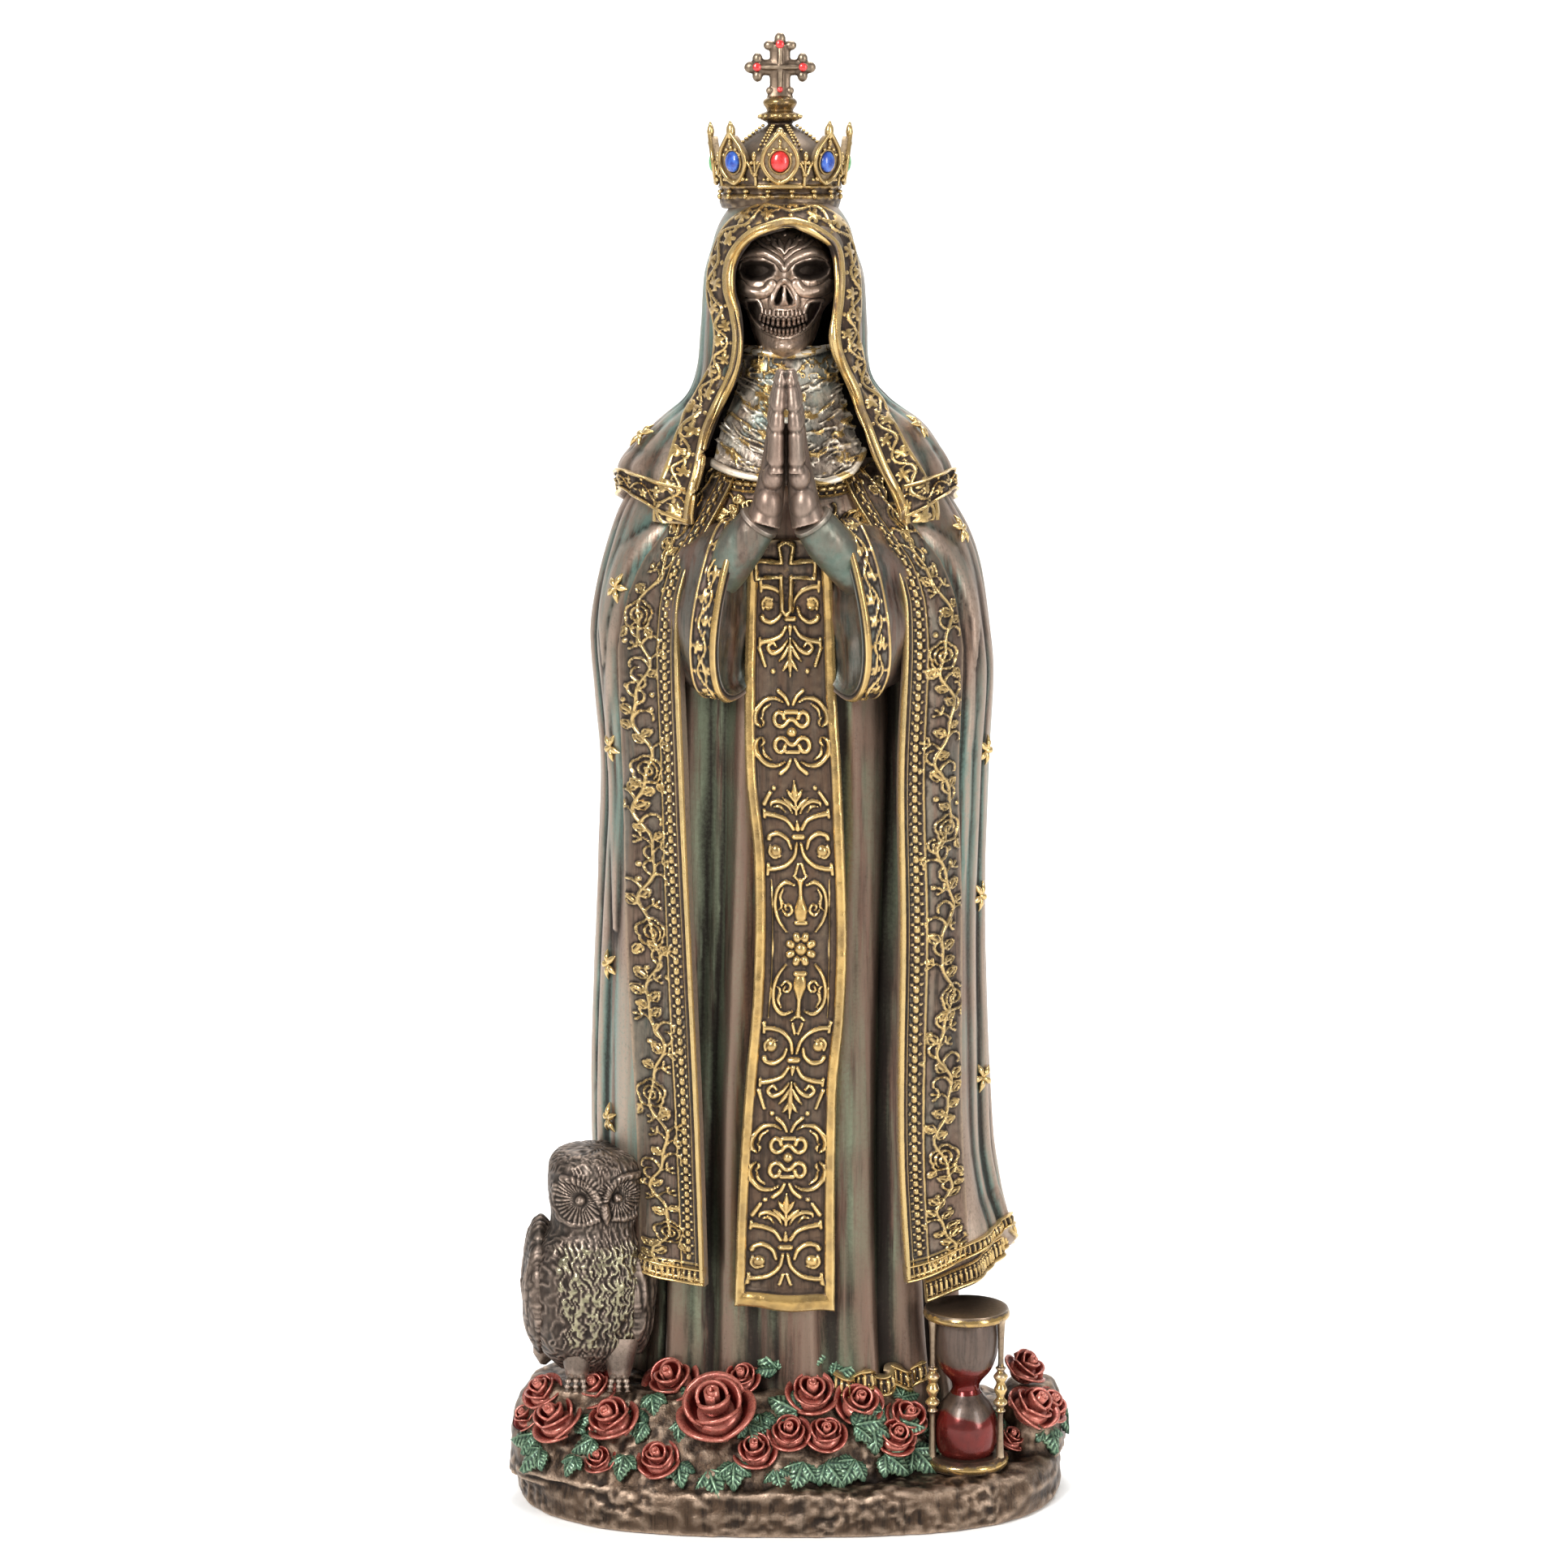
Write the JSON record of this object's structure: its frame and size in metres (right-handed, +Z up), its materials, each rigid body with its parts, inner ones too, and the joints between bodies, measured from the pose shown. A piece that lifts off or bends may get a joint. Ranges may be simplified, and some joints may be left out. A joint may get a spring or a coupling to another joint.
{
  "type": "santa muerte statuette",
  "caption": "Cast statuette of the crowned holy death: a skeleton in a veil and mantle with praying hands, on a ground of roses with an owl and an hourglass.",
  "frame": {"origin": "middle of the flat underside of the ground", "axes": "+Z up, the figure faces -Y, +X to the viewer's right"},
  "size_m": [0.1172, 0.0808, 0.3],
  "materials": {
    "bronze": "cold-cast bronze, dark wash in the hollows and dry-brushed copper, teal and grey on the high cloth",
    "gilding": "worn gold paint over dark bronze",
    "owl_bronze": "dark bronze with pale yellow-green brushed feather tips",
    "hourglass_bronze": "dark bronze with gold rims and red paint for the sand",
    "skull_bronze": "polished copper-bronze bone with a dark wash in the engraving",
    "rose_red": "red paint over cast petals, dark in the folds",
    "leaf_green": "green paint over cast leaves with gold edges",
    "gem_red": "glossy red paint",
    "gem_blue": "glossy blue paint",
    "gem_green": "glossy green paint"
  },
  "bodies": {
    "root": {"figure": "bronze", "crown": "gilding", "owl": "owl_bronze", "hourglass": "hourglass_bronze"}
  },
  "joints": []
}
